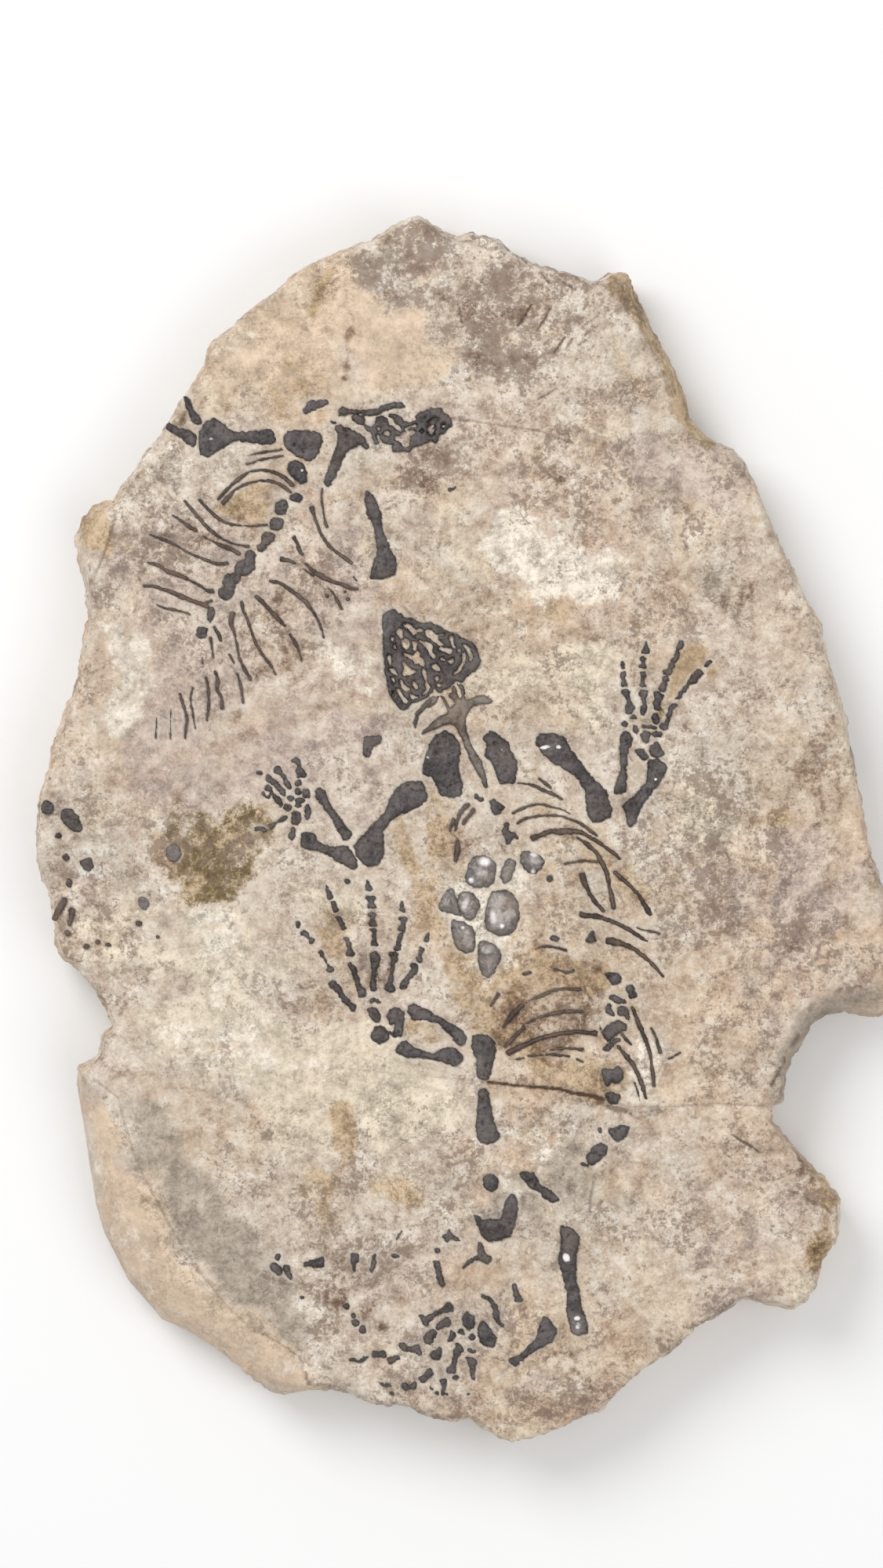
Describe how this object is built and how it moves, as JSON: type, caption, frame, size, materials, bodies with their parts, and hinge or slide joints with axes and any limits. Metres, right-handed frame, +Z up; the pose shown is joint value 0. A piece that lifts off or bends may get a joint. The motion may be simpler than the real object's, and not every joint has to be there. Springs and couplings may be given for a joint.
{
  "type": "fossil reptile slab",
  "caption": "Flat stone slab with a small fossil reptile skeleton exposed on its face, part of a second skeleton beside it and a cluster of pebbles between the ribs.",
  "frame": {"origin": "middle of the slab's flat underside, at the bottom centre of its bounding box", "axes": "+Y runs towards the main skull along the slab's length, +X to its right as seen from above, +Z up out of the face with the bones"},
  "size_m": [0.2764, 0.392, 0.0292],
  "materials": {
    "stone": "dry mottled beige mudstone with brown and ochre stains, matt",
    "fossil_bone": "dark charcoal fossil bone with a purple-brown cast, slightly glossy",
    "rib_bone": "dark brown fossil bone, satin",
    "pebble": "smooth dark grey and tan pebbles, glossy"
  },
  "bodies": {
    "root": {"matrix_slab": "stone", "back_vertebra_1": "fossil_bone", "back_vertebra_2": "fossil_bone", "back_vertebra_3": "fossil_bone", "back_vertebra_4": "fossil_bone", "clavicle": "fossil_bone", "crumbled_pebble": "pebble", "fan_bone": "fossil_bone", "fibula": "fossil_bone", "forked_rib": "rib_bone", "grey_pebble": "pebble", "headed_rib": "rib_bone", "heel_tarsal": "fossil_bone", "hip_splint": "fossil_bone", "hip_vertebra": "fossil_bone", "inner_tarsal": "fossil_bone", "interclavicle": "rib_bone", "knobbed_rib": "rib_bone", "large_pebble": "pebble", "left_coracoid": "fossil_bone", "left_humerus": "fossil_bone", "left_radius": "fossil_bone", "left_ulna": "fossil_bone", "loin_rib_1": "rib_bone", "loin_rib_2": "rib_bone", "long_rib": "rib_bone", "lower_femur": "fossil_bone", "metatarsal_1": "fossil_bone", "metatarsal_2": "fossil_bone", "metatarsal_3": "fossil_bone", "metatarsal_4": "fossil_bone", "metatarsal_5": "fossil_bone", "middle_rib": "rib_bone", "neck_vertebra": "fossil_bone", "outer_tarsal": "fossil_bone", "pelvis_plate": "fossil_bone", "pointed_pebble": "pebble", "right_coracoid": "fossil_bone", "right_humerus": "fossil_bone", "right_radius": "fossil_bone", "right_ulna": "fossil_bone", "round_pebble": "pebble", "round_plate": "fossil_bone", "second_backbone": "rib_bone", "second_femur": "fossil_bone", "second_left_humerus": "fossil_bone", "second_radius": "fossil_bone", "second_right_humerus": "fossil_bone", "second_skull": "fossil_bone", "second_ulna": "fossil_bone", "shoulder_plate": "fossil_bone", "skull": "fossil_bone", "square_pebble": "pebble", "stained_rib": "rib_bone", "t_bone": "fossil_bone", "tail_vertebra_1": "fossil_bone", "tail_vertebra_2": "fossil_bone", "tibia": "fossil_bone", "upper_femur": "fossil_bone", "upper_rib": "rib_bone"}
  },
  "joints": []
}
